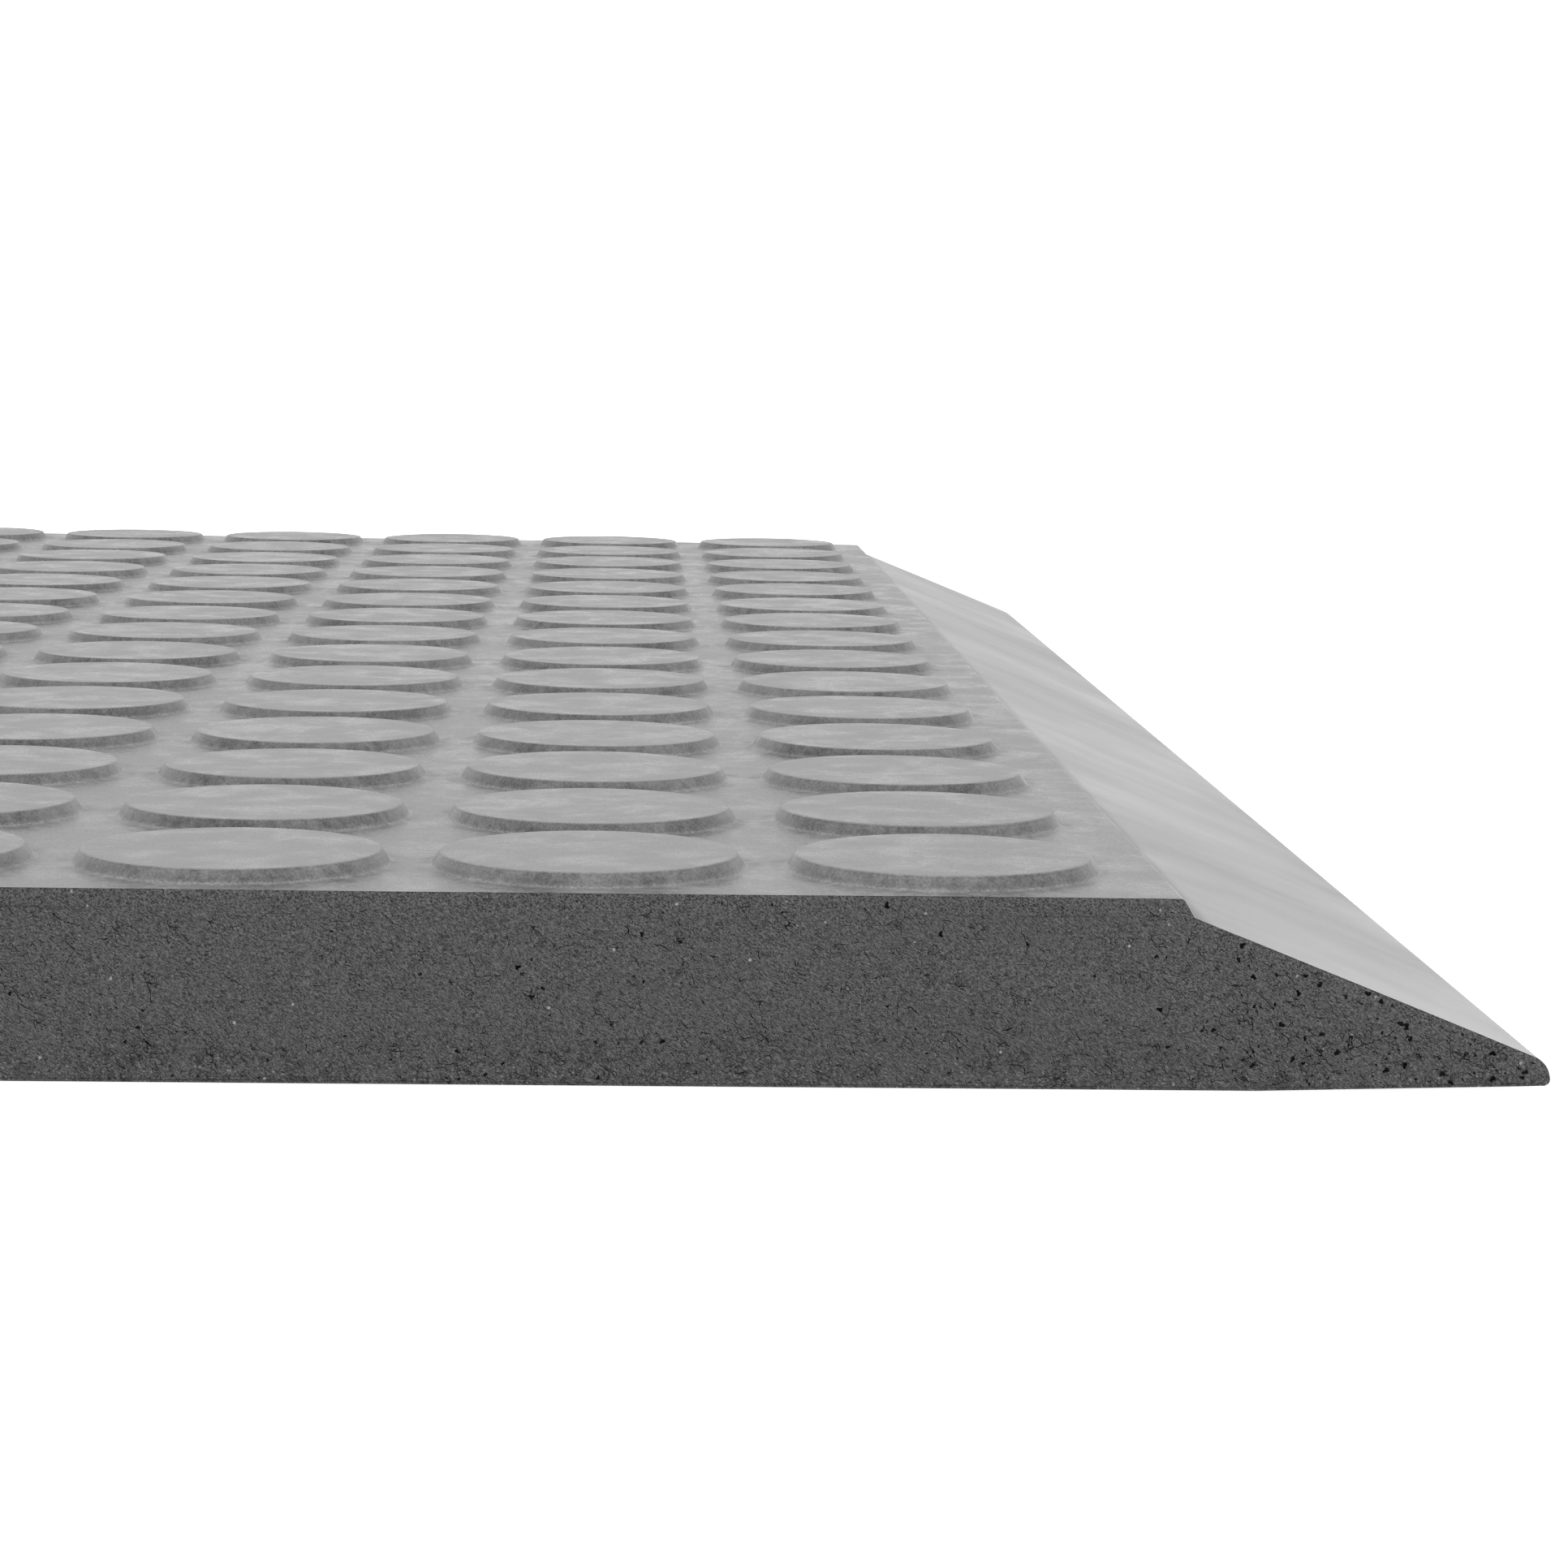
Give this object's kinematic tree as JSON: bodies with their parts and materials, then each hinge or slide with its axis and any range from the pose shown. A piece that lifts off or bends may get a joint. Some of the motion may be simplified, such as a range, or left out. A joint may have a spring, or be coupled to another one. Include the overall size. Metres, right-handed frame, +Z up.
{
  "type": "anti-fatigue mat",
  "caption": "Flat cushioned floor mat of foam rubber with raised round discs on top, ramps down its two long-side edges, and plain cut ends.",
  "frame": {"origin": "on the floor plane, under the centre of the mat", "axes": "+X across the roll, from one ramp to the other, the longest extent; +Y from one cut end to the other; +Z up, through the thickness"},
  "size_m": [0.6, 0.372, 0.014],
  "materials": {
    "closed_cell_foam": "cut closed-cell foam rubber, dark grey, matt, fine open pores and hair cracks",
    "tread_surface": "moulded rubber skin, dark grey, satin, evenly fine-grained",
    "ramp_surface": "smooth moulded rubber skin, dark grey, satin, with faint cloudy marks",
    "underside": "dense moulded rubber skin, dark grey, matt, fine non-slip grain"
  },
  "bodies": {
    "root": {"foam_core": "closed_cell_foam", "tread_sheet": "tread_surface", "left_ramp_skin": "ramp_surface", "right_ramp_skin": "ramp_surface", "base_skin": "underside"}
  },
  "joints": []
}
